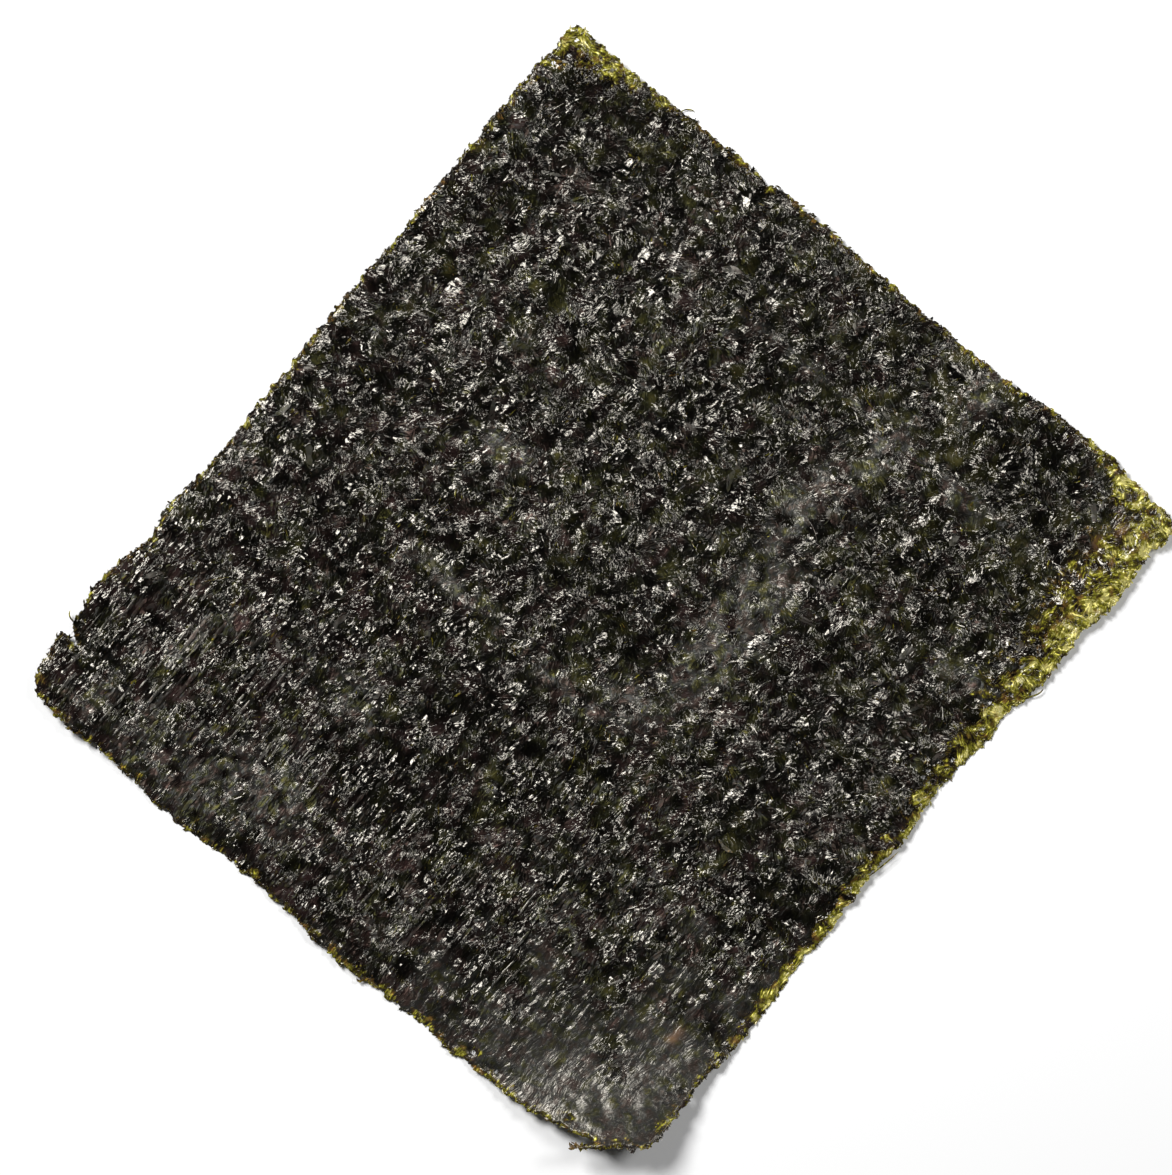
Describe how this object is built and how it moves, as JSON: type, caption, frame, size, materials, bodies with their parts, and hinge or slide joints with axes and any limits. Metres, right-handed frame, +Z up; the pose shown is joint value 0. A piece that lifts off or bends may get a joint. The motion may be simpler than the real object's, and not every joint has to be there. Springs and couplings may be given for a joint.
{
  "type": "nori sheet",
  "caption": "Full sheet of dried, pressed seaweed with torn edges, lying flat with its edges and one curled corner lifting.",
  "frame": {"origin": "under the middle of the sheet's box, on the surface that it lies on", "axes": "+X across the sheet, +Y along its longer side, +Z up out of its upper face"},
  "size_m": [0.1942, 0.2144, 0.0118],
  "materials": {
    "pressed_seaweed": "satin"
  },
  "bodies": {
    "root": {"nori_sheet": "pressed_seaweed"}
  },
  "joints": []
}
